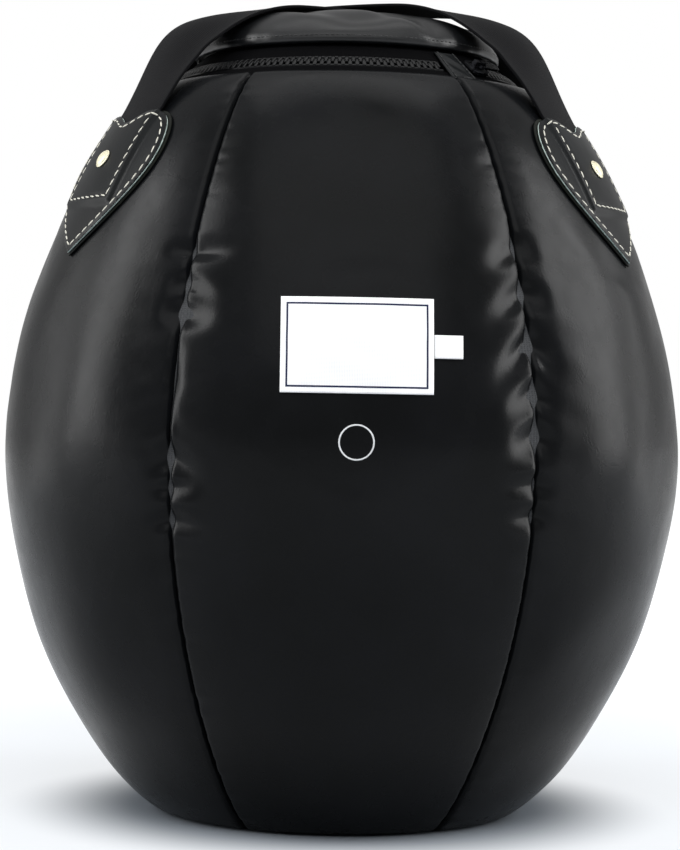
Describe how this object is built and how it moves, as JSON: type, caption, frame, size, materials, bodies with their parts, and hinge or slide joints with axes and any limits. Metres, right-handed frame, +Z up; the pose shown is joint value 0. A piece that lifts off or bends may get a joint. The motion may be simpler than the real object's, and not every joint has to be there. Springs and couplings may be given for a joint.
{
  "type": "punching bag",
  "caption": "Barrel-shaped leather punching bag with sewn gores, a zipped top cover and crossed webbing straps held by heart-shaped patches.",
  "frame": {"origin": "centre of the round base, on the floor", "axes": "+Z up, -Y towards the labelled front gore, +X to the right seen from the front"},
  "size_m": [0.4184, 0.4264, 0.5029],
  "materials": {
    "leather": "black semi-gloss synthetic leather with soft creases",
    "backing_leather": "dark leather with a cut edge",
    "lining_cloth": "plain woven lining",
    "filling_textile": "packed textile cuttings",
    "webbing": "black woven webbing",
    "zipper_tape": "matt black woven tape",
    "zipper_tooth": "moulded black resin",
    "slider_metal": "dark plated metal",
    "rivet_metal": "pale plated rivet",
    "label_cloth": "white woven label"
  },
  "bodies": {
    "bag": {"gore_front": "leather", "gore_front_right": "leather", "gore_back_right": "leather", "gore_back": "leather", "gore_back_left": "leather", "gore_front_left": "leather", "base_panel": "leather", "lining": "lining_cloth", "filling": "filling_textile", "top_cover": "leather", "zipper_tape_lower": "zipper_tape", "zipper_tape_upper": "zipper_tape", "zipper_teeth_lower": "zipper_tooth", "zipper_teeth_upper": "zipper_tooth", "zipper_bridge": "leather", "strap_lower": "webbing", "strap_upper": "webbing", "patch_front_right": "leather", "patch_back_right": "leather", "patch_back_left": "leather", "patch_front_left": "leather", "patch_backing_front_right": "backing_leather", "patch_backing_back_right": "backing_leather", "patch_backing_back_left": "backing_leather", "patch_backing_front_left": "backing_leather", "rivet_front_right": "rivet_metal", "rivet_back_right": "rivet_metal", "rivet_back_left": "rivet_metal", "rivet_front_left": "rivet_metal", "rivet_cap_front_right": "rivet_metal", "rivet_cap_back_right": "rivet_metal", "rivet_cap_back_left": "rivet_metal", "rivet_cap_front_left": "rivet_metal", "label": "label_cloth", "label_tab": "label_cloth"},
    "slider": {"zipper_slider": "slider_metal"},
    "pull": {"zipper_pull": "slider_metal"}
  },
  "joints": [
    {"name": "slider_travel", "type": "hinge", "parent": "bag", "child": "slider", "pos_m": [0, 0, 0.4595], "axis": [0, 0, 1], "range_deg": [0, 340], "deforming": ["zipper_teeth_lower", "zipper_teeth_upper"]},
    {"name": "pull_swing", "type": "hinge", "parent": "slider", "child": "pull", "pos_m": [0.07607, -0.07805, 0.46038], "axis": [0.5333, -0.5472, -0.6452], "range_deg": [0, 170]}
  ]
}
